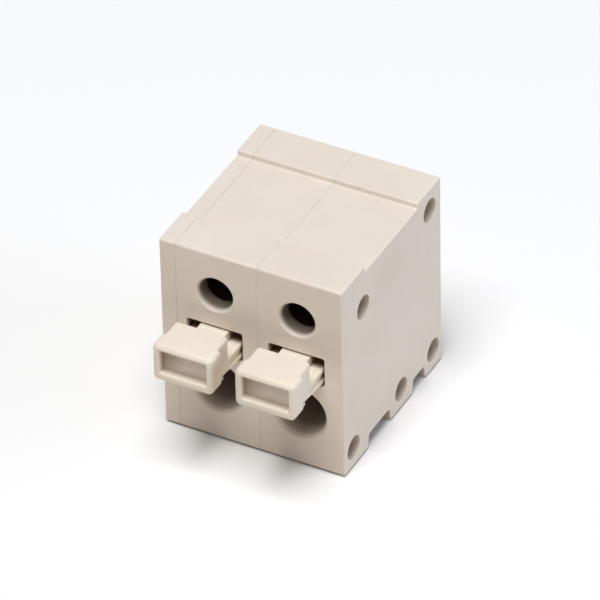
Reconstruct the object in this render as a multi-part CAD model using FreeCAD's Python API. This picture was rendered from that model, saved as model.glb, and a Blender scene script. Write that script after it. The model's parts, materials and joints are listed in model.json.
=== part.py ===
import FreeCAD, Part
import math
import os

# Two-pole spring-clamp terminal block for a circuit board, with push-buttons. Millimetres.
# Every piece is built with X from the block's left side to its right, Y from the front face
# to the back, and Z up from the board. Last, it is moved so that the origin lies on the
# board plane, under the middle of the body.

V = FreeCAD.Vector

# Body
poles = 2
pitch = 5.0
height = 12.55
depth = 11.75
end_plate_thickness = 0.95
last_wall_extra = 0.15
corner_radius = 0.15
outer_edge_chamfer = 0.08
seam_edge_chamfer = 0.05

# Marker recess along the top
marker_front = 2.72
marker_back_lip = 2.8
marker_depth = 0.34
marker_step_radius = 0.1

# Feet on the board, and the two channels between them
front_foot = 2.84
back_foot = 1.99
front_channel_width = 2.7
back_channel_width = 1.6
channel_height = 0.85
channel_draft = 0.15

# Solder pins, which leave the body through the channels
pin_row_spacing = 5.0
pin_width = 1.0
pin_length = 3.5
pin_tip_chamfer = 0.2
strip_thickness = 0.6

# Pegs and sockets that join the modules
peg_radius = 0.68
peg_length = 0.7
peg_tip_chamfer = 0.15
peg_clearance = 0.07
peg_end_gap = 0.1
outer_socket_depth = 0.9
low_peg_height = 1.2
low_front_peg = 1.15
high_front_peg = 2.5
high_front_peg_drop = 2.62
high_back_peg_inset = 1.31
high_back_peg_drop = 1.46

# Wire entry, test hole and button slot of a pole, seen from the front
pole_axis = 2.4
wire_height = 3.48
wire_mouth_radius = 1.76
wire_mouth_chamfer = 0.18
wire_throat_radius = 1.2
wire_funnel_length = 2.4
wire_sill = 0.1
test_drop = 2.73
test_radius = 1.03
test_chamfer = 0.25
slot_width = 3.4
slot_height = 1.91
slot_bottom = 5.77
slot_corner_radius = 0.12

# Spring chamber behind the front wall, open to the left side of the module
front_wall = 3.9
back_wall = 1.5
side_wall = 1.0
ceiling_wall = 2.2
chamber_corner_cut = 1.55
chamber_corner_radius = 0.3

# Push-button
button_clearance = 0.1
shank_gap_below = 0.27
flange_height = 0.93
flange_lip_height = 0.2
flange_groove_height = 0.5
flange_groove_depth = 0.12
rib_width = 1.73
cap_width = 3.63
cap_height = 2.42
cap_plate = 1.15
cap_depth = 2.35
cap_edge_radius = 0.3
block_edge_radius = 0.2
window_width = 2.85
window_height = 1.56
window_depth = 0.42
window_corner_radius = 0.12
window_rise = 0.07
window_shift = 0.07
underside_rise = 0.3
nib_width = 0.4
nib_length = 0.6
nib_thickness = 0.16
button_travel = 1.35
travel_left_over = 0.05
nose_length = 1.65
nose_radius = 0.3
barb_height = 0.4
barb_length = 0.9
barb_flat = 0.25

# Clamp spring
spring_thickness = 0.3
spring_width = 3.0
spring_bend_share = 0.265
spring_belly_radius = 0.6
spring_wall_gap = 0.1
spring_nose_gap = 0.3
spring_apex_drop = 0.45
spring_tip_share = 0.4
spring_end_gap = 0.1
post_clearance = 0.1

# Contact bar
bar_width = 2.4
bar_clearance = 0.1

# Places that follow from the sizes
width = end_plate_thickness + poles * pitch + last_wall_extra
front_channel = front_foot + front_channel_width / 2
back_channel = depth - back_foot - back_channel_width / 2
pin_front = (front_channel + back_channel - pin_row_spacing) / 2
pin_back = pin_front + pin_row_spacing
test_height = height - test_drop
bar_top = wire_height - wire_throat_radius - wire_sill
bar_bottom = bar_top - strip_thickness
bar_bend_radius = strip_thickness / 2 + bar_clearance
chamber_back = depth - back_wall
chamber_top = height - ceiling_wall
chamber_side = pitch - side_wall
slot_centre = chamber_side - slot_width / 2
slot_top = slot_bottom + slot_height
shank_width = slot_width - 2 * button_clearance
shank_bottom = slot_bottom + shank_gap_below
shank_top = slot_top - button_clearance
flange_top = shank_bottom + flange_height
cap_back = -(button_travel + travel_left_over)
cap_front = cap_back - cap_depth
nose_end = front_wall + nose_length
plate_back = cap_front + cap_plate
back_leg = chamber_back - spring_wall_gap - spring_thickness / 2
belly_y = nose_end + spring_nose_gap
spring_bend_radius = spring_bend_share * (back_leg - belly_y)
post_y = back_leg - spring_bend_radius


def box(x, y, z):
    # Each of x, y and z is a (low, high) pair.
    size = [high - low for low, high in (x, y, z)]
    return Part.makeBox(*size, V(x[0], y[0], z[0]))


def about(centre, size):
    return (centre - size / 2, centre + size / 2)


def corner_arc(before, corner, after, radius):
    # The arc that rounds a corner, as its first point, its middle and its last point.
    towards_before = (before - corner).normalize()
    towards_after = (after - corner).normalize()
    half_angle = towards_before.getAngle(towards_after) / 2
    reach = radius / math.tan(half_angle)
    inward = (towards_before + towards_after).normalize()
    nearest = corner + inward * (radius / math.sin(half_angle) - radius)
    return corner + towards_before * reach, nearest, corner + towards_after * reach


def rounded_wire(corners, closed):
    # Wire in the YZ plane through (y, z, radius) corners, each rounded by its own radius.
    points = [V(0, y, z) for y, z, radius in corners]
    edges = []
    runs = []
    for i, (y, z, radius) in enumerate(corners):
        at_open_end = not closed and i in (0, len(corners) - 1)
        if radius == 0 or at_open_end:
            runs.append((points[i], None, points[i]))
        else:
            runs.append(corner_arc(points[i - 1], points[i], points[(i + 1) % len(points)], radius))
    for i, (start, on_arc, end) in enumerate(runs):
        if on_arc is not None:
            edges.append(Part.Arc(start, on_arc, end).toShape())
        if closed or i + 1 < len(runs):
            following = runs[(i + 1) % len(runs)][0]
            edges.append(Part.LineSegment(end, following).toShape())
    return Part.Wire(edges)


def extruded(face, x):
    face.translate(V(x[0], 0, 0))
    return face.extrude(V(x[1] - x[0], 0, 0))


def prism(corners, x):
    return extruded(Part.Face(rounded_wire(corners, True)), x)


def bent_strip(corners, thickness, x):
    # The path runs along the middle of the strip's thickness.
    one_side = rounded_wire(corners, False).makeOffset2D(thickness / 2, 0, False, True)
    return extruded(one_side.makeOffset2D(-thickness, 0, True, True), x)


def turned(profile, x, z):
    # Solid of (radius, y) points turned about an axis along Y.
    points = [V(x + radius, y, z) for radius, y in profile]
    face = Part.Face(Part.makePolygon(points + [points[0]]))
    return face.revolve(V(x, 0, z), V(0, 1, 0), 360)


def rounded_bar(x, y, z, radius):
    # Box with its four edges along Y rounded.
    shape = box(x, y, z)
    long_edges = [e for e in shape.Edges if abs(abs(e.tangentAt(e.FirstParameter).y) - 1) < 1e-6]
    return shape.makeFillet(radius, long_edges)


def channel_corners(centre, size):
    low, high = about(centre, size)
    return [(low, 0, 0),
            (low + channel_draft, channel_height, 0),
            (high - channel_draft, channel_height, 0),
            (high, 0, 0)]


def body_outline():
    # Side view of the body: three feet, two channels for the pins and the marker recess.
    recess_back = depth - marker_back_lip
    recess_floor = height - marker_depth
    return [(0, 0, corner_radius),
            *channel_corners(front_channel, front_channel_width),
            *channel_corners(back_channel, back_channel_width),
            (depth, 0, corner_radius),
            (depth, height, corner_radius),
            (recess_back, height, marker_step_radius),
            (recess_back, recess_floor, marker_step_radius),
            (marker_front, recess_floor, marker_step_radius),
            (marker_front, height, marker_step_radius),
            (0, height, corner_radius)]


def body_slice(x, left_chamfer, right_chamfer):
    # Slice of the body between two places in X, with the edges of both side faces broken.
    shape = prism(body_outline(), x)
    for place, chamfer in zip(x, (left_chamfer, right_chamfer)):
        rim = [e for e in shape.Edges if all(abs(v.X - place) < 1e-6 for v in e.Vertexes)]
        shape = shape.makeChamfer(chamfer, rim)
    return shape


def peg_places():
    # One peg over each foot, one near the test hole and one at the top of the back.
    middle_foot = (front_channel + front_channel_width / 2 + back_channel - back_channel_width / 2) / 2
    return [(low_front_peg, low_peg_height),
            (middle_foot, low_peg_height),
            (depth - back_foot / 2, low_peg_height),
            (high_front_peg, height - high_front_peg_drop),
            (depth - high_back_peg_inset, height - high_back_peg_drop)]


def peg(x, y, z):
    # Peg that stands out to the left of the side face at x and is rooted in the wall.
    shoulder = x - peg_length + peg_tip_chamfer
    straight = Part.makeCylinder(peg_radius, x + side_wall / 2 - shoulder, V(shoulder, y, z), V(1, 0, 0))
    tip = Part.makeCone(peg_radius, peg_radius - peg_tip_chamfer, peg_tip_chamfer,
                        V(shoulder, y, z), V(-1, 0, 0))
    return straight.fuse(tip)


def socket(x, y, z, socket_depth, clearance):
    # Blind hole that is cut to the left from the side face at x.
    return Part.makeCylinder(peg_radius + clearance, socket_depth, V(x, y, z), V(-1, 0, 0))


def wire_entry(x):
    chamfer_end = wire_mouth_radius - wire_mouth_chamfer
    return turned([(0, 0), (wire_mouth_radius, 0), (chamfer_end, wire_mouth_chamfer),
                   (wire_throat_radius, wire_funnel_length), (wire_throat_radius, front_wall),
                   (0, front_wall)], x, wire_height)


def test_hole(x):
    return turned([(0, 0), (test_radius + test_chamfer, 0), (test_radius, test_chamfer),
                   (test_radius, front_wall), (0, front_wall)], x, test_height)


def chamber(x):
    # Space for the spring and the button's nose, with the wire's way under them.
    return prism([(front_wall, bar_top, 0),
                  (chamber_back, bar_top, 0),
                  (chamber_back, chamber_top - chamber_corner_cut, chamber_corner_radius),
                  (chamber_back - chamber_corner_cut, chamber_top, chamber_corner_radius),
                  (front_wall, chamber_top, chamber_corner_radius)],
                 (x, x + chamber_side))


def bar_bed(x):
    # Seat of the contact bar in the chamber floor, and a slot for each pin, open to the left.
    axis = x + pole_axis
    half_strip = strip_thickness / 2
    bed = box((x, axis + bar_width / 2 + bar_clearance),
              (pin_front - half_strip - bar_clearance, pin_back + half_strip + bar_clearance),
              (bar_bottom, bar_top))
    for place in (pin_front, pin_back):
        bed = bed.fuse(box((x, axis + pin_width / 2 + bar_clearance),
                           about(place, strip_thickness + 2 * bar_clearance),
                           (0, bar_top)))
    return bed


def spring_post(x):
    # Round post on the right wall, inside the spring's top bend.
    bend_inside = spring_bend_radius - spring_thickness / 2
    left_end = x + pole_axis - spring_width / 2
    return Part.makeCylinder(bend_inside - post_clearance, x + pitch - side_wall / 2 - left_end,
                             V(left_end, post_y, post_height()), V(1, 0, 0))


def spring_corners():
    # The spring's path: up the back wall, over the post, down to the button and back to the bar.
    belly_height = shank_bottom + flange_height / 2
    tip_y = belly_y + spring_tip_share * (back_leg - belly_y)
    end_height = bar_top + spring_end_gap
    return [(back_leg, end_height, 0),
            (back_leg, chamber_top - spring_apex_drop, spring_bend_radius),
            (belly_y, belly_height, spring_belly_radius),
            (tip_y, end_height + spring_thickness / 2, 0)]


def post_height():
    # Height of the centre of the spring's top bend.
    leg, apex, belly, tip = [V(0, y, z) for y, z, radius in spring_corners()]
    arc_start = corner_arc(leg, apex, belly, spring_bend_radius)[0]
    return arc_start.z


def end_plate():
    # Cover over the first module's open side, pressed on its pegs, so its sockets fit without play.
    shape = body_slice((0, end_plate_thickness), outer_edge_chamfer, seam_edge_chamfer)
    holes = [socket(end_plate_thickness, y, z, peg_length + peg_end_gap, 0) for y, z in peg_places()]
    return shape.cut(Part.makeCompound(holes))


def module_housing(number):
    last = number == poles - 1
    left = end_plate_thickness + number * pitch
    right = width if last else left + pitch
    socket_depth = outer_socket_depth if last else peg_length + peg_end_gap
    right_chamfer = outer_edge_chamfer if last else seam_edge_chamfer
    shape = body_slice((left, right), seam_edge_chamfer, right_chamfer)
    button_slot = rounded_bar(about(left + slot_centre, slot_width), (0, front_wall),
                              (slot_bottom, slot_top), slot_corner_radius)
    shape = shape.cut([chamber(left), bar_bed(left), button_slot,
                       wire_entry(left + pole_axis), test_hole(left + pole_axis),
                       *[socket(right, y, z, socket_depth, peg_clearance) for y, z in peg_places()]])
    shape = shape.fuse([spring_post(left), *[peg(left, y, z) for y, z in peg_places()]])
    return shape.removeSplitter()


def button_cap(centre):
    # Front plate with rounded edges and a window, and a narrower block behind it.
    middle_height = shank_bottom + cap_height / 2
    heights = (shank_bottom, shank_bottom + cap_height)
    plate = box(about(centre, cap_width), (cap_front, plate_back), heights)
    soft = [e for e in plate.Edges if min(v.Y for v in e.Vertexes) < cap_front + 1e-6]
    plate = plate.makeFillet(cap_edge_radius, soft)
    block = box(about(centre, shank_width), (cap_front + cap_plate / 2, cap_back), heights)
    soft = [e for e in block.Edges if min(v.Z for v in e.Vertexes) > heights[1] - 1e-6
            and abs(e.Vertexes[0].X - e.Vertexes[1].X) < 1e-6]
    block = block.makeFillet(block_edge_radius, soft)
    window = rounded_bar(about(centre + window_shift, window_width), (cap_front, cap_front + window_depth),
                         about(middle_height + window_rise, window_height), window_corner_radius)
    return plate.fuse(block).cut(window)


def button_shank(centre):
    # Wide flange with a groove along each side, a rib on top and a barb behind the front wall.
    along = (cap_back - cap_depth / 2, nose_end)
    flange = box(about(centre, shank_width), along, (shank_bottom, flange_top))
    nose = [e for e in flange.Edges if all(abs(v.Y - nose_end) < 1e-6 for v in e.Vertexes)
            and abs(e.Vertexes[0].Z - e.Vertexes[1].Z) < 1e-6]
    flange = flange.makeFillet(nose_radius, nose)
    groove_bottom = shank_bottom + flange_lip_height
    for side in (-1, 1):
        flange = flange.cut(box(about(centre + side * shank_width / 2, 2 * flange_groove_depth),
                                (cap_back, nose_end),
                                (groove_bottom, groove_bottom + flange_groove_height)))
    barb_front = front_wall + button_clearance
    rib = prism([(along[0], flange_top - flange_groove_depth, 0),
                 (nose_end - nose_radius, flange_top - flange_groove_depth, 0),
                 (nose_end - nose_radius, shank_top, 0),
                 (barb_front + barb_length, shank_top, 0),
                 (barb_front + barb_flat, shank_top + barb_height, 0),
                 (barb_front, shank_top + barb_height, 0),
                 (barb_front, shank_top, 0),
                 (along[0], shank_top, 0)], about(centre, rib_width))
    return flange.fuse(rib)


def underside_cut(centre):
    # Wedge under the shank, so that its underside rises from the front face to the plate.
    return prism([(plate_back, shank_bottom, 0),
                  (0, shank_bottom, 0),
                  (plate_back, shank_bottom + underside_rise, 0)], about(centre, shank_width))


def nib(centre, side):
    # Short tongue behind a lower corner of the plate, clear of the shank above it.
    outer = centre + side * shank_width / 2
    across = sorted((outer, outer - side * nib_width))
    return box(across, (plate_back - cap_plate / 2, plate_back + nib_length),
               (shank_bottom, shank_bottom + nib_thickness))


def push_button(number):
    centre = end_plate_thickness + number * pitch + slot_centre
    body = button_cap(centre).fuse(button_shank(centre)).cut(underside_cut(centre))
    return body.fuse([nib(centre, -1), nib(centre, 1)]).removeSplitter()


def clamp_spring(number):
    axis = end_plate_thickness + number * pitch + pole_axis
    return bent_strip(spring_corners(), spring_thickness, about(axis, spring_width))


def contact_bar(number):
    # Flat bar under the wire, bent down at both ends into narrower pins with pointed tips.
    axis = end_plate_thickness + number * pitch + pole_axis
    level = bar_top - strip_thickness / 2
    path = [(pin_front, -pin_length, 0), (pin_front, level, bar_bend_radius),
            (pin_back, level, bar_bend_radius), (pin_back, -pin_length, 0)]
    around = (pin_front - pitch, pin_back + pitch)
    pins = bent_strip(path, strip_thickness, about(axis, pin_width))
    bar = bent_strip(path, strip_thickness, about(axis, bar_width))
    bar = bar.common(box(about(axis, 2 * bar_width), around, (bar_bottom, bar_top)))
    tips = [e for e in pins.Edges if all(abs(v.Z + pin_length) < 1e-6 for v in e.Vertexes)]
    return pins.makeChamfer(pin_tip_chamfer, tips).fuse(bar).removeSplitter()


def save(name, shape):
    solid = shape.Solids[0]
    print(name, "solids", len(shape.Solids), "valid", shape.isValid(), "volume", round(shape.Volume, 3))
    solid.translate(V(-width / 2, -depth / 2, 0))
    solid.exportStep("parts/" + name + ".step")


os.makedirs("parts", exist_ok=True)
save("end_plate", end_plate())
for number in range(poles):
    save("module_housing_%d" % (number + 1), module_housing(number))
    save("contact_bar_%d" % (number + 1), contact_bar(number))
    save("clamp_spring_%d" % (number + 1), clamp_spring(number))
    save("push_button_%d" % (number + 1), push_button(number))
print("spring post height", round(post_height(), 3))
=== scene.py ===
import json
import math

import bmesh
import bpy
from mathutils import Matrix, Vector


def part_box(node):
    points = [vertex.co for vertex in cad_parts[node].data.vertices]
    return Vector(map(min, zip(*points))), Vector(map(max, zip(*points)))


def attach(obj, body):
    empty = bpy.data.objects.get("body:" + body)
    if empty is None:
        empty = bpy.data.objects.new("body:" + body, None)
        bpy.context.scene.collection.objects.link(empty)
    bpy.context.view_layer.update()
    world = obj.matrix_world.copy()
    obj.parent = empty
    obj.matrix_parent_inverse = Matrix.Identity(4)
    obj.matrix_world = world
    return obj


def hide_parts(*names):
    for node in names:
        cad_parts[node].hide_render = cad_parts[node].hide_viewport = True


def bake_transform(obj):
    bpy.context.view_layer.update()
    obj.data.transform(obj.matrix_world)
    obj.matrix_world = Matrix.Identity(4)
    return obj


# Two-pole spring-clamp terminal block for a circuit board. The pieces are modelled in millimetres,
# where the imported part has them, and each is brought to metres when it is finished.

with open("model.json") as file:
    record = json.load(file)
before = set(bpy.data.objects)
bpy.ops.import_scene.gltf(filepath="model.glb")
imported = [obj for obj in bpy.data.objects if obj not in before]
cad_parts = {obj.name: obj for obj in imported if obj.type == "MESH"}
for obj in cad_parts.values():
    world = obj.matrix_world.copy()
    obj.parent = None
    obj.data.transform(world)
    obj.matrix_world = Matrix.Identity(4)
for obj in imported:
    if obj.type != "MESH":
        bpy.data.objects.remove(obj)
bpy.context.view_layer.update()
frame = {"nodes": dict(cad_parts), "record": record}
mounts = {mount["name"]: mount for mount in frame["record"]["mounts"]}
mmPerMetre = 1000.0
near = 0.001           # two places this close, in millimetres, are the same
weldGap = 0.0005       # points this close, in millimetres, become one


def clearSelection():
    if bpy.context.mode != 'OBJECT':
        bpy.ops.object.mode_set(mode='OBJECT')
    bpy.ops.object.select_all(action='DESELECT')


def makeActive(piece):
    clearSelection()
    piece.select_set(True)
    bpy.context.view_layer.objects.active = piece


def openEdit(piece):
    makeActive(piece)
    bpy.ops.object.mode_set(mode='EDIT')
    bpy.ops.mesh.select_mode(type='VERT')
    bpy.ops.mesh.select_all(action='SELECT')


def closeEdit():
    bpy.ops.object.mode_set(mode='OBJECT')


def pickParts(piece, kind, listParts, test):
    # Selects what passes the test, in edit mode, and nothing else.
    bpy.ops.mesh.select_mode(type=kind)
    bpy.ops.mesh.select_all(action='DESELECT')
    mesh = bmesh.from_edit_mesh(piece.data)
    for part in listParts(mesh):
        if test(part):
            part.select_set(True)
    mesh.select_flush_mode()
    bmesh.update_edit_mesh(piece.data)


def pickVerts(piece, test):
    pickParts(piece, 'VERT', lambda mesh: mesh.verts, lambda vert: test(vert.co))


def pickEdges(piece, test):
    pickParts(piece, 'EDGE', lambda mesh: mesh.edges,
              lambda edge: test(edge.verts[0].co, edge.verts[1].co))


def pickFaces(piece, test):
    pickParts(piece, 'FACE', lambda mesh: mesh.faces,
              lambda face: test(face.calc_center_median(), face.normal))


def applyPlace(piece):
    makeActive(piece)
    bpy.ops.object.transform_apply(location=True, rotation=True, scale=True)


def addBox(name, x, y, z):
    # A box between two places along each axis.
    clearSelection()
    bpy.ops.mesh.primitive_cube_add(size=1, location=[(low + high) / 2 for low, high in (x, y, z)])
    piece = bpy.context.active_object
    piece.name = name
    piece.scale = [high - low for low, high in (x, y, z)]
    applyPlace(piece)
    return piece


def bevelEdges(piece, size, test, steps=2):
    openEdit(piece)
    pickEdges(piece, test)
    bpy.ops.mesh.bevel(offset=size, segments=steps, affect='EDGES', clamp_overlap=True)
    closeEdit()


def combine(piece, other, operation):
    # Joins the other solid to the piece, or cuts it away from it.
    makeActive(piece)
    change = piece.modifiers.new("change", 'BOOLEAN')
    change.operation = operation
    change.solver = 'EXACT'
    change.object = other
    bpy.ops.object.modifier_apply(modifier="change")
    bpy.data.objects.remove(other)


def copyPiece(piece, name, move=(0, 0, 0)):
    makeActive(piece)
    bpy.ops.object.duplicate(linked=False)
    copy = bpy.context.active_object
    copy.name = name
    copy.location = move
    applyPlace(copy)
    return copy


def finishPiece(piece, material, smoothAngle=38):
    # Closes the seams, shades the rounded edges and brings the piece to metres.
    openEdit(piece)
    bpy.ops.mesh.remove_doubles(threshold=weldGap)
    bpy.ops.mesh.select_all(action='SELECT')
    bpy.ops.mesh.normals_make_consistent(inside=False)
    closeEdit()
    piece.scale = (1 / mmPerMetre,) * 3
    applyPlace(piece)
    bpy.ops.object.shade_smooth_by_angle(angle=math.radians(smoothAngle))
    even = piece.modifiers.new("evenShade", 'WEIGHTED_NORMAL')
    even.keep_sharp = True
    bpy.ops.object.modifier_apply(modifier="evenShade")
    piece.data.materials.clear()
    piece.data.materials.append(material)


def nodeBox(name):
    low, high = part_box(name)
    return low * mmPerMetre, high * mmPerMetre


def mountPlace(name):
    return Vector(mounts[name]["pos_m"]) * mmPerMetre


# Shader groups and materials.

def newGroup(name, inputs, outputs):
    group = bpy.data.node_groups.new(name, 'ShaderNodeTree')
    for label, kind, value in inputs:
        socket = group.interface.new_socket(name=label, in_out='INPUT', socket_type=kind)
        socket.default_value = value
    for label, kind in outputs:
        group.interface.new_socket(name=label, in_out='OUTPUT', socket_type=kind)
    return group, group.nodes.new('NodeGroupInput'), group.nodes.new('NodeGroupOutput')


def addNoise(tree, coordinates, detail, roughness, scale=None):
    noise = tree.nodes.new('ShaderNodeTexNoise')
    noise.inputs["Detail"].default_value = detail
    noise.inputs["Roughness"].default_value = roughness
    if scale is not None:
        noise.inputs["Scale"].default_value = scale
    tree.links.new(coordinates, noise.inputs["Vector"])
    return noise


def addRange(tree, value, low, high, toLow, toHigh):
    spread = tree.nodes.new('ShaderNodeMapRange')
    spread.inputs["From Min"].default_value = low
    spread.inputs["From Max"].default_value = high
    spread.inputs["To Min"].default_value = toLow
    spread.inputs["To Max"].default_value = toHigh
    tree.links.new(value, spread.inputs["Value"])
    return spread.outputs["Result"]


def addMath(tree, operation, first, second):
    node = tree.nodes.new('ShaderNodeMath')
    node.operation = operation
    for socket, value in zip(node.inputs, (first, second)):
        if isinstance(value, (int, float)):
            socket.default_value = value
        else:
            tree.links.new(value, socket)
    return node.outputs["Value"]


def makeMouldedSkin():
    # Moulded plastic: slow clouding of the colour, a few specks, and fine grain left by the mould.
    group, given, out = newGroup("mouldedSkin", [
        ("Light Tone", 'NodeSocketColor', (0.8, 0.8, 0.8, 1)),
        ("Deep Tone", 'NodeSocketColor', (0.7, 0.7, 0.7, 1)),
        ("Cloud Scale", 'NodeSocketFloat', 300.0),
        ("Grain Scale", 'NodeSocketFloat', 20000.0),
        ("Roughness", 'NodeSocketFloat', 0.5)],
        [("Color", 'NodeSocketColor'), ("Roughness", 'NodeSocketFloat'), ("Height", 'NodeSocketFloat')])
    link = group.links.new
    place = group.nodes.new('ShaderNodeTexCoord').outputs["Object"]
    cloud = addNoise(group, place, detail=3.0, roughness=0.55)
    link(given.outputs["Cloud Scale"], cloud.inputs["Scale"])
    grain = addNoise(group, place, detail=2.0, roughness=0.6)
    link(given.outputs["Grain Scale"], grain.inputs["Scale"])
    speck = addNoise(group, place, detail=1.0, roughness=0.5, scale=9000.0)
    clouding = addRange(group, cloud.outputs["Fac"], low=0.35, high=0.65, toLow=0.0, toHigh=1.0)
    specking = addRange(group, speck.outputs["Fac"], low=0.72, high=0.8, toLow=0.0, toHigh=0.5)
    mix = group.nodes.new('ShaderNodeMix')
    mix.data_type = 'RGBA'
    link(addMath(group, 'MAXIMUM', clouding, specking), mix.inputs["Factor"])
    link(given.outputs["Light Tone"], mix.inputs["A"])
    link(given.outputs["Deep Tone"], mix.inputs["B"])
    link(mix.outputs["Result"], out.inputs["Color"])
    rough = addRange(group, cloud.outputs["Fac"], low=0.3, high=0.7, toLow=-0.05, toHigh=0.06)
    link(addMath(group, 'ADD', given.outputs["Roughness"], rough), out.inputs["Roughness"])
    grainShare, cloudShare = 0.6, 0.4
    height = addMath(group, 'MULTIPLY', grain.outputs["Fac"], grainShare)
    link(addMath(group, 'ADD', height, addMath(group, 'MULTIPLY', cloud.outputs["Fac"], cloudShare)),
         out.inputs["Height"])
    return group


def makeHollowDepth():
    # How deep a place lies behind the nearest face of a box, for the painted shade in openings. In metres.
    group, given, out = newGroup("hollowDepth", [
        ("Low", 'NodeSocketVector', (-1.0, -1.0, -1.0)),
        ("High", 'NodeSocketVector', (1.0, 1.0, 1.0)),
        ("Repeat", 'NodeSocketFloat', 1.0)],      # distance along X after which the box comes again
        [("Depth", 'NodeSocketFloat'), ("Place", 'NodeSocketVector')])

    def subtract(first, second):
        node = group.nodes.new('ShaderNodeVectorMath')
        node.operation = 'SUBTRACT'
        group.links.new(first, node.inputs[0])
        group.links.new(second, node.inputs[1])
        split = group.nodes.new('ShaderNodeSeparateXYZ')
        group.links.new(node.outputs["Vector"], split.inputs[0])
        return list(split.outputs)

    here = group.nodes.new('ShaderNodeTexCoord').outputs["Object"]
    place = subtract(here, given.outputs["Low"])
    size = subtract(given.outputs["High"], given.outputs["Low"])
    place[0] = addMath(group, 'FLOORED_MODULO', place[0], given.outputs["Repeat"])
    depth = None
    for low, whole in zip(place, size):
        nearest = addMath(group, 'MINIMUM', low, addMath(group, 'SUBTRACT', whole, low))
        depth = nearest if depth is None else addMath(group, 'MINIMUM', depth, nearest)
    joined = group.nodes.new('ShaderNodeCombineXYZ')
    for value, socket in zip(place, joined.inputs):
        group.links.new(value, socket)
    group.links.new(depth, out.inputs["Depth"])
    group.links.new(joined.outputs["Vector"], out.inputs["Place"])
    return group


def paintShadeInHollows(material, low, high, repeat, tone, makeMask):
    # Paints shade into the base colour in the openings, darkening it towards the tone; the corners and the
    # distance are in millimetres.
    tree = material.node_tree
    surface = tree.nodes["Principled BSDF"]
    inside = tree.nodes.new('ShaderNodeGroup')
    inside.node_tree = hollowDepth
    inside.inputs["Low"].default_value = [value / mmPerMetre for value in low]
    inside.inputs["High"].default_value = [value / mmPerMetre for value in high]
    inside.inputs["Repeat"].default_value = repeat / mmPerMetre
    place = tree.nodes.new('ShaderNodeSeparateXYZ')
    tree.links.new(inside.outputs["Place"], place.inputs[0])
    mix = tree.nodes.new('ShaderNodeMix')
    mix.data_type = 'RGBA'
    mix.inputs["B"].default_value = tone
    tree.links.new(surface.inputs["Base Color"].links[0].from_socket, mix.inputs["A"])
    tree.links.new(makeMask(tree, inside.outputs["Depth"], *place.outputs), mix.inputs["Factor"])
    tree.links.new(mix.outputs["Result"], surface.inputs["Base Color"])


def makeRolledMetal():
    # Rolled strip: long fine scratches along one direction, and a slow change of shine.
    group, given, out = newGroup("rolledMetal", [
        ("Light Tone", 'NodeSocketColor', (0.8, 0.8, 0.8, 1)),
        ("Deep Tone", 'NodeSocketColor', (0.7, 0.7, 0.7, 1)),
        ("Roughness", 'NodeSocketFloat', 0.3)],
        [("Color", 'NodeSocketColor'), ("Roughness", 'NodeSocketFloat'), ("Height", 'NodeSocketFloat')])
    link = group.links.new
    place = group.nodes.new('ShaderNodeTexCoord').outputs["Object"]
    stretch = group.nodes.new('ShaderNodeMapping')
    stretch.inputs["Scale"].default_value = (25000.0, 900.0, 900.0)
    link(place, stretch.inputs["Vector"])
    scratch = addNoise(group, stretch.outputs["Vector"], detail=3.0, roughness=0.6, scale=1.0)
    patch = addNoise(group, place, detail=2.0, roughness=0.5, scale=900.0)
    mix = group.nodes.new('ShaderNodeMix')
    mix.data_type = 'RGBA'
    link(addRange(group, scratch.outputs["Fac"], low=0.35, high=0.65, toLow=0.0, toHigh=1.0),
         mix.inputs["Factor"])
    link(given.outputs["Light Tone"], mix.inputs["A"])
    link(given.outputs["Deep Tone"], mix.inputs["B"])
    link(mix.outputs["Result"], out.inputs["Color"])
    rough = addRange(group, patch.outputs["Fac"], low=0.35, high=0.65, toLow=-0.06, toHigh=0.1)
    link(addMath(group, 'ADD', given.outputs["Roughness"], rough), out.inputs["Roughness"])
    link(scratch.outputs["Fac"], out.inputs["Height"])
    return group


def makeMaterial(name, skin, values, bump, plain):
    # A Principled surface that takes its colour, roughness and relief from the skin group.
    # The bump is (depth in metres, strength), and what is plain goes on the surface's own sockets.
    material = bpy.data.materials.new(name)
    material.use_nodes = True
    tree = material.node_tree
    surface = tree.nodes["Principled BSDF"]
    group = tree.nodes.new('ShaderNodeGroup')
    group.node_tree = skin
    for label, value in values.items():
        group.inputs[label].default_value = value
    tree.links.new(group.outputs["Color"], surface.inputs["Base Color"])
    tree.links.new(group.outputs["Roughness"], surface.inputs["Roughness"])
    relief = tree.nodes.new('ShaderNodeBump')
    relief.inputs["Distance"].default_value, relief.inputs["Strength"].default_value = bump
    tree.links.new(group.outputs["Height"], relief.inputs["Height"])
    tree.links.new(relief.outputs["Normal"], surface.inputs["Normal"])
    for label, value in plain.items():
        surface.inputs[label].default_value = value
    return material


mouldedSkin = makeMouldedSkin()
hollowDepth = makeHollowDepth()
rolledMetal = makeRolledMetal()
housingNylon = makeMaterial(
    "housingNylon", mouldedSkin,
    {"Light Tone": (0.805, 0.725, 0.638, 1), "Deep Tone": (0.775, 0.69, 0.598, 1),
     "Cloud Scale": 260.0, "Grain Scale": 16000.0, "Roughness": 0.48},
    bump=(0.000012, 0.35),
    plain={"Subsurface Weight": 0.2, "Subsurface Radius": (0.6, 0.4, 0.25), "Subsurface Scale": 0.0007,
           "Specular IOR Level": 0.4})
buttonNylon = makeMaterial(
    "buttonNylon", mouldedSkin,
    {"Light Tone": (0.848, 0.765, 0.662, 1), "Deep Tone": (0.822, 0.735, 0.626, 1),
     "Cloud Scale": 320.0, "Grain Scale": 18000.0, "Roughness": 0.5},
    bump=(0.00001, 0.3),
    plain={"Subsurface Weight": 0.5, "Subsurface Radius": (0.7, 0.48, 0.3), "Subsurface Scale": 0.0009,
           "Specular IOR Level": 0.4})
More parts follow.
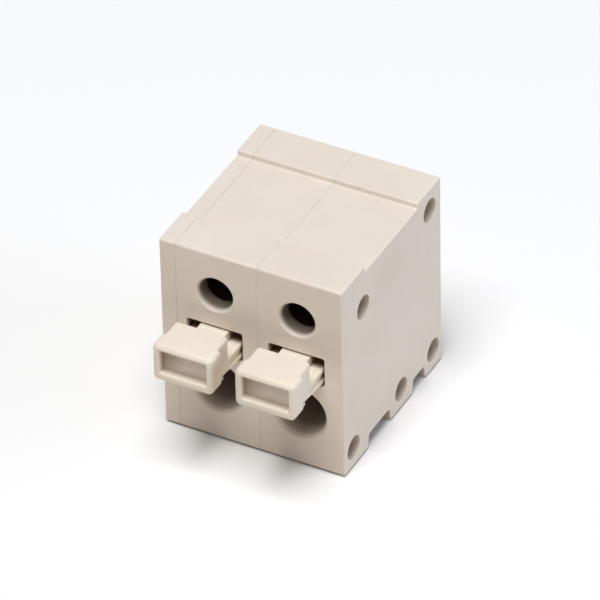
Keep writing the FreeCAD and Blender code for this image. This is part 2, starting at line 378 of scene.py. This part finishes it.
tinPlate = makeMaterial(
    "tinPlate", rolledMetal,
    {"Light Tone": (0.76, 0.75, 0.72, 1), "Deep Tone": (0.66, 0.65, 0.62, 1), "Roughness": 0.32},
    bump=(0.000004, 0.25), plain={"Metallic": 1.0})
springSteel = makeMaterial(
    "springSteel", rolledMetal,
    {"Light Tone": (0.6, 0.6, 0.61, 1), "Deep Tone": (0.5, 0.5, 0.51, 1), "Roughness": 0.28},
    bump=(0.000004, 0.25), plain={"Metallic": 1.0})
print("materials ready")

# The body: an end plate and two housings of one outline.

plateLow, plateHigh = nodeBox("end_plate")
lastLow, lastHigh = nodeBox("module_housing_2")
bodyFront, bodyBack, bodyTop = plateLow.y, plateHigh.y, plateHigh.z
seamOne, seamTwo = plateHigh.x, nodeBox("module_housing_1")[1].x

body = {
    "cornerRound": 0.15,      # the four long corners, seen from the side
    "outerEdge": 0.08,        # rounding of the rims of the two outer side faces
    "seamEdge": 0.022,        # rounding of the rims where two modules meet
    "plateEdge": 0.04,        # rounding where the end plate meets the first module
    "rimSteps": 3,
    "markerFront": 2.72,      # recess along the top, from the front face
    "markerBackLip": 2.8,
    "markerDepth": 0.34,
    "markerRound": 0.1,
    "channels": ((2.84, 5.54), (8.16, 9.76)),   # front and back of each, from the front face
    "channelHeight": 0.85,
    "channelDraft": 0.15,
    "channelRound": 0.1,
}


def modelOutline():
    # Side view of the body: three feet, two channels for the pins and the marker recess.
    x = plateLow.x
    clearSelection()
    bpy.ops.mesh.primitive_plane_add(size=1, location=(x, (bodyFront + bodyBack) / 2, bodyTop / 2),
                                     rotation=(0, math.radians(90), 0))
    sheet = bpy.context.active_object
    sheet.name = "bodyOutline"
    sheet.scale = (bodyTop, bodyBack - bodyFront, 1)
    applyPlace(sheet)
    openEdit(sheet)
    recess = (bodyFront + body["markerFront"], bodyBack - body["markerBackLip"])
    recessFloor = bodyTop - body["markerDepth"]
    high, draft = body["channelHeight"], body["channelDraft"]
    channels = [(bodyFront + start, bodyFront + end) for start, end in body["channels"]]
    cuts = [((x, 0, recessFloor), (0, 0, 1)), ((x, 0, high), (0, 0, 1))]
    cuts += [((x, y, 0), (0, 1, 0)) for y in recess]
    for start, end in channels:
        cuts += [((x, start, 0), (0, high, -draft)), ((x, end, 0), (0, high, draft))]
    for place, normal in cuts:
        bpy.ops.mesh.select_all(action='SELECT')
        bpy.ops.mesh.bisect(plane_co=place, plane_no=normal)

    def isGap(centre, normal):
        if centre.z > recessFloor:
            return recess[0] < centre.y < recess[1]
        lean = draft * centre.z / high
        return centre.z < high and any(start + lean < centre.y < end - lean for start, end in channels)

    pickFaces(sheet, isGap)
    bpy.ops.mesh.delete(type='FACE')
    bpy.ops.mesh.select_all(action='SELECT')
    bpy.ops.mesh.dissolve_faces(use_verts=False)
    # Each rounding is its size, its steps and the corners that get it.
    roundings = [
        (body["cornerRound"], 5, [(y, z) for y in (bodyFront, bodyBack) for z in (0, bodyTop)]),
        (body["markerRound"], 4, [(y, z) for y in recess for z in (recessFloor, bodyTop)]),
        (body["channelRound"], 3, [(start, 0) for start, end in channels]
         + [(end, 0) for start, end in channels]
         + [(start + draft, high) for start, end in channels]
         + [(end - draft, high) for start, end in channels])]
    corners = [place for size, steps, places in roundings for place in places]

    def isAt(co, places):
        return any(abs(co.y - y) < near and abs(co.z - z) < near for y, z in places)

    pickVerts(sheet, lambda co: not isAt(co, corners))
    bpy.ops.mesh.dissolve_verts()
    for size, steps, places in roundings:
        pickVerts(sheet, lambda co: isAt(co, places))
        bpy.ops.mesh.bevel(offset=size, segments=steps, affect='VERTICES')
    closeEdit()
    return sheet


def modelSlice(sheet, name, left, right, leftEdge, rightEdge):
    # The outline drawn out along X, with the rims of both side faces rounded.
    piece = copyPiece(sheet, name, (left - plateLow.x, 0, 0))
    openEdit(piece)
    bpy.ops.mesh.extrude_region_move(TRANSFORM_OT_translate={"value": (right - left, 0, 0)})
    bpy.ops.mesh.select_all(action='SELECT')
    bpy.ops.mesh.normals_make_consistent(inside=False)
    for place, size in ((left, leftEdge), (right, rightEdge)):
        pickEdges(piece, lambda a, b: abs(a.x - place) < near and abs(b.x - place) < near)
        bpy.ops.mesh.bevel(offset=size, segments=body["rimSteps"], affect='EDGES')
    closeEdit()
    return piece


def ringsFrom(face, rim):
    # Rings of (place along Y, growth of the outline), from those of a rim behind a face.
    return [(face + depth, growth) for depth, growth in rim]


def drawOut(cutter, centre, width, height, rings):
    # Draws a flat outline out along +Y through its rings, as a flared tunnel.
    start, growth = rings[0]
    sizeX, sizeZ = width + 2 * growth, height + 2 * growth
    openEdit(cutter)
    for place, grown in rings[1:]:
        bpy.ops.mesh.extrude_region_move(TRANSFORM_OT_translate={"value": (0, place - start, 0)})
        newX, newZ = width + 2 * grown, height + 2 * grown
        bpy.ops.transform.resize(value=(newX / sizeX, 1, newZ / sizeZ),
                                 center_override=(centre[0], place, centre[1]))
        start, sizeX, sizeZ = place, newX, newZ
    bpy.ops.mesh.select_all(action='SELECT')
    bpy.ops.mesh.normals_make_consistent(inside=False)
    closeEdit()
    return cutter


def roundTunnel(name, centre, radius, rings, sides):
    clearSelection()
    bpy.ops.mesh.primitive_circle_add(vertices=sides, radius=radius + rings[0][1], fill_type='NGON',
                                      location=(centre[0], rings[0][0], centre[1]),
                                      rotation=(math.radians(90), 0, 0))
    cutter = bpy.context.active_object
    cutter.name = name
    applyPlace(cutter)
    return drawOut(cutter, centre, 2 * radius, 2 * radius, rings)


def squareTunnel(name, centre, width, height, corner, rings, steps=4):
    clearSelection()
    bpy.ops.mesh.primitive_plane_add(size=1, location=(centre[0], rings[0][0], centre[1]),
                                     rotation=(math.radians(90), 0, 0))
    cutter = bpy.context.active_object
    cutter.name = name
    cutter.scale = (width + 2 * rings[0][1], height + 2 * rings[0][1], 1)
    applyPlace(cutter)
    openEdit(cutter)
    bpy.ops.mesh.bevel(offset=corner, segments=steps, affect='VERTICES')
    closeEdit()
    return drawOut(cutter, centre, width, height, rings)


# The openings of a housing. A rim is rings of (depth behind the face, growth of the outline there).
opening = {
    "polePitch": 5.0,
    "frontWall": 3.9,
    "overlap": 0.05,          # how far a cutter reaches past the wall that it goes through
    "wireRadius": 1.76,       # mouth of the round wire entry, which narrows to the throat
    "wireSides": 64,
    "wireRim": ((-0.5, 0.05), (0.0, 0.03), (0.02, -0.02), (0.06, -0.065), (0.15, -0.155), (0.21, -0.19),
                (0.3, -0.21)),
    "throatRadius": 1.2,
    "funnelLength": 2.4,
    "testRadius": 1.03,
    "testSides": 56,
    "testRim": ((-0.5, 0.18), (0.0, 0.15), (0.02, 0.115), (0.06, 0.07), (0.12, 0.025), (0.17, 0.006),
                (0.24, 0.0)),
    "slotWidth": 3.4,
    "slotBottom": 5.77,
    "slotHeight": 1.91,
    "slotCorner": 0.14,
    "slotRim": ((-0.5, 0.08), (0.0, 0.05), (0.015, 0.025), (0.05, 0.005), (0.1, 0.0)),
    "leftWall": 0.3,          # closes each chamber on its left
    "chamberFloor": 2.18,
    "chamberTop": 10.35,
    "backWall": 1.5,
    "sideWall": 1.0,
    "cornerCut": 1.55,
    "testWall": 1.0,          # the test hole is this deep, and opens into a wider pocket
    "testPocket": (3.0, 8.35, 11.2),    # its width, and how low and high it reaches
    "barBed": ((-2.2, 3.6), (1.58, 2.18)),      # seat of the contact bar along Y and in height
    "bedOverlap": 0.02,
    "barHalf": 1.3,
    "pinHalf": 0.6,
    "pinRows": (-1.8, 3.2),
    "pinSlot": 0.8,
    "pinCut": (0.3, 0.1),     # it starts this high, in the open channel, and ends this far into the bed
    "post": (3.025, 7.58, 0.85),        # inside the spring's top bend: place, height, radius
    "postReach": 1.5,         # to the left of the pole's middle
    "postRoot": 0.3,          # sunk in the side wall
    "postSides": 48,
    "postRim": 0.1,
    "socketRadius": 0.72,
    "socketDepth": 0.9,
    "socketSides": 48,
    "socketRim": ((0.3, 0.05), (0.0, 0.04), (-0.02, 0.012), (-0.06, 0.0)),    # along X from the side face
    "socketDraft": -0.01,
}


def modelChamber(left, right):
    # Space for the spring behind the front wall, closed on both sides here.
    front = bodyFront + opening["frontWall"]
    back = bodyBack - opening["backWall"]
    floor, ceiling = opening["chamberFloor"], opening["chamberTop"]
    cutter = addBox("chamber", (left, right), (front, back), (floor, ceiling))
    bevelEdges(cutter, opening["cornerCut"],
               lambda a, b: min(a.y, b.y) > back - near and min(a.z, b.z) > ceiling - near, steps=1)
    return cutter


def modelPost(middle, right):
    # The round post inside the spring's bend.
    place, height, radius = opening["post"]
    start, end = middle - opening["postReach"], right + opening["postRoot"]
    clearSelection()
    bpy.ops.mesh.primitive_cylinder_add(vertices=opening["postSides"], radius=radius, depth=end - start,
                                        location=((start + end) / 2, place, height),
                                        rotation=(0, math.radians(90), 0))
    post = bpy.context.active_object
    applyPlace(post)
    bevelEdges(post, opening["postRim"], lambda a, b: max(a.x, b.x) < start + near)
    return post


def cutOpenings(piece, number):
    front = bodyFront
    wire, test = mountPlace("wire_entry_%d" % number), mountPlace("test_hole_%d" % number)
    seam = seamOne if number == 1 else seamTwo
    left, right = seam + opening["leftWall"], seam + opening["polePitch"] - opening["sideWall"]
    wallEnd = front + opening["frontWall"] + opening["overlap"]
    combine(piece, modelChamber(left, right), 'DIFFERENCE')
    bedLength, (bedFloor, bedTop) = opening["barBed"]
    combine(piece, addBox("barBed", (left, wire.x + opening["barHalf"]), bedLength,
                          (bedFloor, bedTop + opening["bedOverlap"])), 'DIFFERENCE')
    pinFoot, pinOverlap = opening["pinCut"]
    for row in opening["pinRows"]:
        combine(piece, addBox("pinSlot", (left, wire.x + opening["pinHalf"]),
                              (row - opening["pinSlot"] / 2, row + opening["pinSlot"] / 2),
                              (pinFoot, bedFloor + pinOverlap)), 'DIFFERENCE')
    combine(piece, modelPost(wire.x, right), 'UNION')
    mouth = opening["throatRadius"] - opening["wireRadius"]
    combine(piece, roundTunnel("wireEntry", (wire.x, wire.z), opening["wireRadius"],
                               ringsFrom(front, opening["wireRim"])
                               + [(front + opening["funnelLength"], mouth), (wallEnd, mouth)],
                               opening["wireSides"]), 'DIFFERENCE')
    combine(piece, roundTunnel("testHole", (test.x, test.z), opening["testRadius"],
                               ringsFrom(front, opening["testRim"]) + [(wallEnd, 0.0)],
                               opening["testSides"]), 'DIFFERENCE')
    wide, low, high = opening["testPocket"]
    combine(piece, addBox("testPocket", (test.x - wide / 2, test.x + wide / 2),
                          (front + opening["testWall"], wallEnd), (low, high)), 'DIFFERENCE')
    slotCentre = (right - opening["slotWidth"] / 2, opening["slotBottom"] + opening["slotHeight"] / 2)
    combine(piece, squareTunnel("buttonSlot", slotCentre, opening["slotWidth"], opening["slotHeight"],
                                opening["slotCorner"],
                                ringsFrom(front, opening["slotRim"]) + [(wallEnd, 0.0)]), 'DIFFERENCE')


def modelSocket(place):
    # A blind hole in the right side, for a peg of a further block.
    rim = opening["socketRim"] + ((-opening["socketDepth"], opening["socketDraft"]),)
    rings = [(lastHigh.x + step, opening["socketRadius"] + growth) for step, growth in rim]
    at, radius = rings[0]
    clearSelection()
    bpy.ops.mesh.primitive_circle_add(vertices=opening["socketSides"], radius=radius, fill_type='NGON',
                                      location=(at, place.y, place.z), rotation=(0, math.radians(90), 0))
    cutter = bpy.context.active_object
    applyPlace(cutter)
    openEdit(cutter)
    for x, newRadius in rings[1:]:
        bpy.ops.mesh.extrude_region_move(TRANSFORM_OT_translate={"value": (x - at, 0, 0)})
        bpy.ops.transform.resize(value=(1, newRadius / radius, newRadius / radius),
                                 center_override=(x, place.y, place.z))
        at, radius = x, newRadius
    bpy.ops.mesh.select_all(action='SELECT')
    bpy.ops.mesh.normals_make_consistent(inside=False)
    closeEdit()
    return cutter


outline = modelOutline()
endPlate = modelSlice(outline, "endPlate", plateLow.x, seamOne, body["outerEdge"], body["plateEdge"])
housingOne = modelSlice(outline, "housingOne", seamOne, seamTwo, body["plateEdge"], body["seamEdge"])
housingTwo = modelSlice(outline, "housingTwo", seamTwo, lastHigh.x, body["seamEdge"], body["outerEdge"])
bpy.data.objects.remove(outline)
for number, housing in enumerate((housingOne, housingTwo), 1):
    cutOpenings(housing, number)
for name in mounts:
    if name.startswith("side_socket"):
        combine(housingTwo, modelSocket(mountPlace(name)), 'DIFFERENCE')


# Painted shade in the openings of the body, mixed into its colour. A ramp is (from, to) in metres, then how
# dark it is at either end.
bodyPaintedShade = {
    # colour of the painted shade
    "tone": (0.12, 0.078, 0.045, 1),
    "opening": (0.00002, 0.0011, 0.05, 0.78),
    "wall": (0.00001, 0.0004, 0.0, 0.8),
    "cavity": (0.0009, 0.00105, 0.0, 1.0),
    "aboveWires": (0.0052, 0.0054, 0.0, 1.0),   # in height, and it sets in above the wire entries
    "rightEnd": 0.01015,                        # the side sockets lie further right
    "topClear": 0.02,                           # millimetres that the shade's box ends below the recess
    "repeat": 1000.0,                           # millimetres, far past the body: its shade comes once
}


def paintedShadeMaskHousing(tree, depth, across, inward, height):
    # Painted shade: all openings darken with depth. Button slots and test holes darken sooner, because
    # they open into the dark chamber.
    slow = addRange(tree, depth, *bodyPaintedShade["opening"])
    slow = addMath(tree, 'MULTIPLY', slow, addMath(tree, 'GREATER_THAN', depth, bodyPaintedShade["opening"][0]))
    wall = addRange(tree, depth, *bodyPaintedShade["wall"])
    cavity = addRange(tree, depth, *bodyPaintedShade["cavity"])
    aboveWires = addMath(tree, 'MULTIPLY', addRange(tree, height, *bodyPaintedShade["aboveWires"]),
                         addMath(tree, 'LESS_THAN', across, bodyPaintedShade["rightEnd"]))
    quick = addMath(tree, 'MULTIPLY', addMath(tree, 'MAXIMUM', wall, cavity), aboveWires)
    return addMath(tree, 'MAXIMUM', slow, quick)


shadeTop = bodyTop - body["markerDepth"] - bodyPaintedShade["topClear"]
paintShadeInHollows(housingNylon, (plateLow.x, bodyFront, 0.0), (lastHigh.x, bodyBack, shadeTop),
             bodyPaintedShade["repeat"], bodyPaintedShade["tone"], paintedShadeMaskHousing)
for piece in (endPlate, housingOne, housingTwo):
    finishPiece(piece, housingNylon)
    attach(piece, "block")
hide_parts("end_plate")
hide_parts("module_housing_1")
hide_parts("module_housing_2")
print("body ready")

# Push-buttons.

button = {
    "plateThickness": 1.15,   # full-width front plate of the cap
    "capBack": 1.4,           # clear of the body's front face at rest
    "blockWidth": 3.2,
    "plateRound": 0.3,
    "blockRound": 0.2,
    "backEdge": 0.06,
    "fineEdge": 0.05,
    "rootOverlap": 0.4,       # how far the block and the flange are sunk in the plate
    "smallOverlap": 0.3,      # the same for the rib and the nibs
    "windowWidth": 2.85,
    "windowHeight": 1.46,
    "windowDepth": 0.42,
    "windowCorner": 0.14,
    "windowRim": ((-0.3, 0.1), (0.0, 0.09), (0.02, 0.045), (0.06, 0.015), (0.12, 0.0)),
    "windowFoot": ((-0.04, -0.01), (0.0, -0.04)),    # rounds the window's floor
    "windowRise": 0.12,       # the window sits a little above and right of the plate's middle
    "windowShift": 0.07,
    "undersideRise": 0.3,     # the shank's underside climbs towards the plate
    "sideSpare": 0.02,        # the cutter below it is this much wider than the shank
    "cutOverrun": 0.1,        # cutters start or end this far outside
    "nibWidth": 0.4,          # two short tongues behind the plate's lower corners
    "nibLength": 0.6,
    "nibThickness": 0.16,
    "nibLift": 0.002,
    "flangeHeight": 0.93,
    "blockSink": 0.2,         # how far the block reaches down into the flange, and the rib
    "ribSink": 0.12,
    "lipHeight": 0.2,
    "grooveHeight": 0.5,
    "grooveDepth": 0.12,
    "ribWidth": 1.73,
    "ribTop": 7.58,
    "barbClear": 0.1,         # behind the front wall, and as far sunk in the rib
    "barbHeight": 0.4,
    "barbLength": 0.9,
    "barbFlat": 0.25,
    "noseRound": 0.3,
}


def modelShank(bottom, plateBack, capBack, noseEnd, across):
    # The wide flange with a groove along each side and a rounded nose.
    flange = addBox("flange", across(button["blockWidth"]), (plateBack - button["rootOverlap"], noseEnd),
                    (bottom, bottom + button["flangeHeight"]))
    bevelEdges(flange, button["noseRound"],
               lambda a, b: min(a.y, b.y) > noseEnd - near and abs(a.z - b.z) < near, steps=5)
    depth, grooveBottom = button["grooveDepth"], bottom + button["lipHeight"]
    for edge in across(button["blockWidth"]):
        groove = addBox("groove", (edge - depth, edge + depth),
                        (capBack, noseEnd + button["cutOverrun"]),
                        (grooveBottom, grooveBottom + button["grooveHeight"]))
        bevelEdges(groove, button["fineEdge"],
                   lambda a, b: abs(a.x - b.x) < near or abs(a.y - b.y) > near)
        combine(flange, groove, 'DIFFERENCE')
    return flange


def modelBarb(across):
    # Keeps the button in: flat on top at first, then falling to the rib.
    front = bodyFront + opening["frontWall"] + button["barbClear"]
    end = front + button["barbLength"]
    barb = addBox("barb", across(button["ribWidth"]), (front, end),
                  (button["ribTop"] - button["barbClear"], button["ribTop"] + button["barbHeight"]))
    openEdit(barb)
    bpy.ops.mesh.bisect(plane_co=(0, front + button["barbFlat"], 0), plane_no=(0, 1, 0))
    pickVerts(barb, lambda co: co.y > end - near and co.z > button["ribTop"] + near)
    bpy.ops.transform.translate(value=(0, 0, -button["barbHeight"]))
    closeEdit()
    return barb


def modelButton():
    low, high = nodeBox("push_button_1")
    centre = (low.x + high.x) / 2
    bottom, capTop = low.z, high.z
    capFront, noseEnd = low.y, high.y
    plateBack = capFront + button["plateThickness"]
    capBack = bodyFront - button["capBack"]
    flangeTop = bottom + button["flangeHeight"]

    def across(width):
        return (centre - width / 2, centre + width / 2)

    plate = addBox("pushButtonOne", (low.x, high.x), (capFront, plateBack), (bottom, capTop))
    bevelEdges(plate, button["plateRound"], lambda a, b: min(a.y, b.y) < capFront + near, steps=6)
    bevelEdges(plate, button["backEdge"], lambda a, b: min(a.y, b.y) > plateBack - near)
    block = addBox("capBlock", across(button["blockWidth"]), (plateBack - button["rootOverlap"], capBack),
                   (flangeTop - button["blockSink"], capTop))
    bevelEdges(block, button["blockRound"],
               lambda a, b: min(a.z, b.z) > capTop - near and abs(a.x - b.x) < near, steps=5)
    bevelEdges(block, button["backEdge"], lambda a, b: min(a.y, b.y) > capBack - near)
    combine(plate, block, 'UNION')
    combine(plate, modelShank(bottom, plateBack, capBack, noseEnd, across), 'UNION')
    wedge = addBox("undersideCut", across(button["blockWidth"] + button["sideSpare"]),
                   (plateBack, bodyFront), (bottom - button["cutOverrun"], bottom + button["undersideRise"]))
    openEdit(wedge)
    pickVerts(wedge, lambda co: co.y > bodyFront - near and co.z > bottom)
    bpy.ops.transform.translate(value=(0, 0, -button["undersideRise"]))
    closeEdit()
    combine(plate, wedge, 'DIFFERENCE')
    for side in (-1, 1):
        outer = centre + side * button["blockWidth"] / 2
        nib = addBox("nib", sorted((outer, outer - side * button["nibWidth"])),
                     (plateBack - button["smallOverlap"], plateBack + button["nibLength"]),
                     (bottom + button["nibLift"], bottom + button["nibThickness"]))
        bevelEdges(nib, button["fineEdge"], lambda a, b: min(a.y, b.y) > plateBack + near)
        combine(plate, nib, 'UNION')
    rib = addBox("rib", across(button["ribWidth"]),
                 (plateBack - button["smallOverlap"], noseEnd - button["noseRound"]),
                 (flangeTop - button["ribSink"], button["ribTop"]))
    bevelEdges(rib, button["fineEdge"],
               lambda a, b: min(a.z, b.z) > button["ribTop"] - near and abs(a.y - b.y) > near)
    combine(plate, rib, 'UNION')
    combine(plate, modelBarb(across), 'UNION')
    middle = (bottom + capTop) / 2 + button["windowRise"]
    floor = capFront + button["windowDepth"]
    rings = ringsFrom(capFront, button["windowRim"]) + ringsFrom(floor, button["windowFoot"])
    window = squareTunnel("window", (centre + button["windowShift"], middle), button["windowWidth"],
                          button["windowHeight"], button["windowCorner"], rings)
    combine(plate, window, 'DIFFERENCE')
    return plate


# Painted shade in the window and along the shank, in the same way as the body's.
buttonPaintedShade = {
    # colour of the painted shade, a warm brown
    "tone": (0.25, 0.13, 0.05, 1),
    "left": (0.00046, 0.0019, 0.62, 0.12),      # across the cap
    "foot": (0.00058, 0.0012, 0.45, 0.12),      # in height
    "recess": (0.00005, 0.0004, 0.0, 1.0),      # in depth
    "plate": 0.0006,                            # the window lies before this place
    "inSlot": (0.00372, 0.0041, 0.0, 0.95),     # along the shank, from the body's front face
}


def paintedShadeMaskButton(tree, depth, across, inward, height):
    # Painted shade: the window is browner towards its left and lower edges, and the shank darkens inside
    # the slot.
    left = addRange(tree, across, *buttonPaintedShade["left"])
    foot = addRange(tree, height, *buttonPaintedShade["foot"])
    recess = addMath(tree, 'MULTIPLY', addRange(tree, depth, *buttonPaintedShade["recess"]),
                     addMath(tree, 'LESS_THAN', inward, buttonPaintedShade["plate"]))
    window = addMath(tree, 'MULTIPLY', addMath(tree, 'MAXIMUM', left, foot), recess)
    return addMath(tree, 'MAXIMUM', window, addRange(tree, inward, *buttonPaintedShade["inSlot"]))


buttonOne = modelButton()
shift = nodeBox("push_button_2")[0].x - nodeBox("push_button_1")[0].x
buttonTwo = copyPiece(buttonOne, "pushButtonTwo", (shift, 0, 0))
capLow, capHigh = nodeBox("push_button_1")
paintShadeInHollows(buttonNylon, capLow, (capHigh.x, 0.0, capHigh.z), shift, buttonPaintedShade["tone"], paintedShadeMaskButton)
for number, piece in enumerate((buttonOne, buttonTwo), 1):
    finishPiece(piece, buttonNylon)
    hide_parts("push_button_%d" % number)
    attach(piece, "button_%d" % number)
print("buttons ready")

# Clamp springs and contact bars.

spring = {
    "belly": (-0.025, 6.5),   # where the nose of the button meets it: place along Y, height
    "bendStart": (2.155, 7.38),
    "rows": 26,
    "weldGap": 1e-7,          # in metres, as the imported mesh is
    "smoothAngle": 40,
}


def modelSpring(number):
    # The rolled strip, cut into crosswise rows along its height.
    node = frame["nodes"]["clamp_spring_%d" % number]
    strip = bpy.data.objects.new("clampSpring" + ("One" if number == 1 else "Two"), node.data.copy())
    bpy.context.scene.collection.objects.link(strip)
    makeActive(strip)
    bpy.ops.mesh.customdata_custom_splitnormals_clear()
    openEdit(strip)
    bpy.ops.mesh.remove_doubles(threshold=spring["weldGap"])
    bpy.ops.mesh.tris_convert_to_quads()
    low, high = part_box("clamp_spring_%d" % number)
    for row in range(1, spring["rows"]):
        height = low.z + (high.z - low.z) * row / spring["rows"]
        bpy.ops.mesh.select_all(action='SELECT')
        bpy.ops.mesh.bisect(plane_co=(0, 0, height), plane_no=(0, 0, 1))
    bpy.ops.mesh.select_all(action='SELECT')
    bpy.ops.mesh.remove_doubles(threshold=spring["weldGap"])
    closeEdit()
    bpy.ops.object.shade_smooth_by_angle(angle=math.radians(spring["smoothAngle"]))
    strip.data.materials.clear()
    strip.data.materials.append(springSteel)
    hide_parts(node.name)
    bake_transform(strip)


for number in (1, 2):
    modelSpring(number)
    bar = frame["nodes"]["contact_bar_%d" % number]
    bar.data.materials.clear()
    bar.data.materials.append(tinPlate)
print("springs and contact bars ready")

# Camera, light and floor.

camera = {
    "target": (0.0, 0.125, 6.3),   # millimetres
    "azimuth": 28.41,
    "elevation": 37.634,
    "roll": -1.251,
    "distance": 353.0,
    "frame": 600,                  # pixels across the picture
    "focal": 6438.97,              # in these pixels
    "shift": (3.559, -2.776),
    "sensor": 36.0,
    "clip": (0.01, 20.0),
}


def placeCamera():
    azimuth, elevation, roll = (math.radians(camera[key]) for key in ("azimuth", "elevation", "roll"))
    backward = Vector((math.sin(azimuth) * math.cos(elevation), -math.cos(azimuth) * math.cos(elevation),
                       math.sin(elevation)))
    right = (-backward).cross(Vector((0, 0, 1))).normalized()
    up = right.cross(-backward)
    right, up = (right * math.cos(roll) + up * math.sin(roll), up * math.cos(roll) - right * math.sin(roll))
    place = (Vector(camera["target"]) + backward * camera["distance"]) / mmPerMetre
    turn = Matrix((right, up, backward)).transposed().to_euler()
    bpy.ops.object.camera_add(location=place, rotation=turn)
    view = bpy.context.active_object
    view.name = "photoCamera"
    view.data.sensor_width = camera["sensor"]
    view.data.lens = camera["focal"] * camera["sensor"] / camera["frame"]
    view.data.shift_x = -camera["shift"][0] / camera["frame"]
    view.data.shift_y = camera["shift"][1] / camera["frame"]
    view.data.clip_start, view.data.clip_end = camera["clip"]
    bpy.context.scene.camera = view


lamps = {
    "softbox": {"place": (0.033, -0.154, 0.528), "size": 0.28, "power": 2.52, "color": (1, 1, 1)},
    "sideFill": {"place": (0.5, 0.1, 0.14), "size": 0.3, "power": 0.84, "color": (0.73, 0.81, 1.0)},
}
studio = {
    "skyColor": (0.97, 0.985, 1.0, 1),
    "sky": 0.195,
    "backdrop": 1.0,                        # what the camera sees behind the floor, where 1 is white
    "floorSize": 4.0,
    "floorHeight": -0.00012,
    "floorGloss": (0.9, 0.1),               # roughness, specular level
    "floorLit": (0.71, 0.66, 0.595, 1),     # the paper in the light that it throws back
    "floorSeen": (0.99, 0.99, 0.99, 1),
}


def addSoftbox(name, lamp):
    # An area lamp that faces the object.
    place = Vector(lamp["place"])
    turn = place.to_track_quat('Z', 'Y').to_euler()
    clearSelection()
    bpy.ops.object.light_add(type='AREA', location=place, rotation=turn)
    light = bpy.context.active_object
    light.name = name
    light.data.shape = 'SQUARE'
    light.data.size = lamp["size"]
    light.data.energy = lamp["power"]
    light.data.color = lamp["color"]


def seenRays(tree):
    # Rays to the camera, and those that reach it by a reflection or through something clear.
    rays = tree.nodes.new('ShaderNodeLightPath').outputs
    bent = addMath(tree, 'MAXIMUM', rays["Is Glossy Ray"], rays["Is Transmission Ray"])
    return addMath(tree, 'MAXIMUM', rays["Is Camera Ray"], bent)


def lightRoom():
    world = bpy.context.scene.world or bpy.data.worlds.new("studio")
    bpy.context.scene.world = world
    world.use_nodes = True
    tree = world.node_tree
    tree.nodes.clear()
    out = tree.nodes.new('ShaderNodeOutputWorld')
    mix = tree.nodes.new('ShaderNodeMixShader')
    sky, backdrop = tree.nodes.new('ShaderNodeBackground'), tree.nodes.new('ShaderNodeBackground')
    sky.inputs["Color"].default_value = studio["skyColor"]
    sky.inputs["Strength"].default_value = studio["sky"]
    backdrop.inputs["Color"].default_value = (1, 1, 1, 1)
    backdrop.inputs["Strength"].default_value = studio["backdrop"]
    tree.links.new(seenRays(tree), mix.inputs[0])
    tree.links.new(sky.outputs[0], mix.inputs[1])
    tree.links.new(backdrop.outputs[0], mix.inputs[2])
    tree.links.new(mix.outputs[0], out.inputs["Surface"])


def layFloor():
    clearSelection()
    bpy.ops.mesh.primitive_plane_add(size=studio["floorSize"], location=(0, 0, studio["floorHeight"]))
    floor = bpy.context.active_object
    floor.name = "studioFloor"
    paper = bpy.data.materials.new("whitePaper")
    paper.use_nodes = True
    surface = paper.node_tree.nodes["Principled BSDF"]
    # The paper is white to the eye, and a little greyer in the light that it throws back.
    tone = paper.node_tree.nodes.new('ShaderNodeMix')
    tone.data_type = 'RGBA'
    tone.inputs["A"].default_value = studio["floorLit"]
    tone.inputs["B"].default_value = studio["floorSeen"]
    paper.node_tree.links.new(seenRays(paper.node_tree), tone.inputs["Factor"])
    paper.node_tree.links.new(tone.outputs["Result"], surface.inputs["Base Color"])
    roughness, specular = studio["floorGloss"]
    surface.inputs["Roughness"].default_value = roughness
    surface.inputs["Specular IOR Level"].default_value = specular
    floor.data.materials.append(paper)


placeCamera()
for name, lamp in lamps.items():
    addSoftbox(name, lamp)
lightRoom()
layFloor()
bpy.context.scene.view_settings.view_transform = 'Standard'
print("camera, light and floor ready")
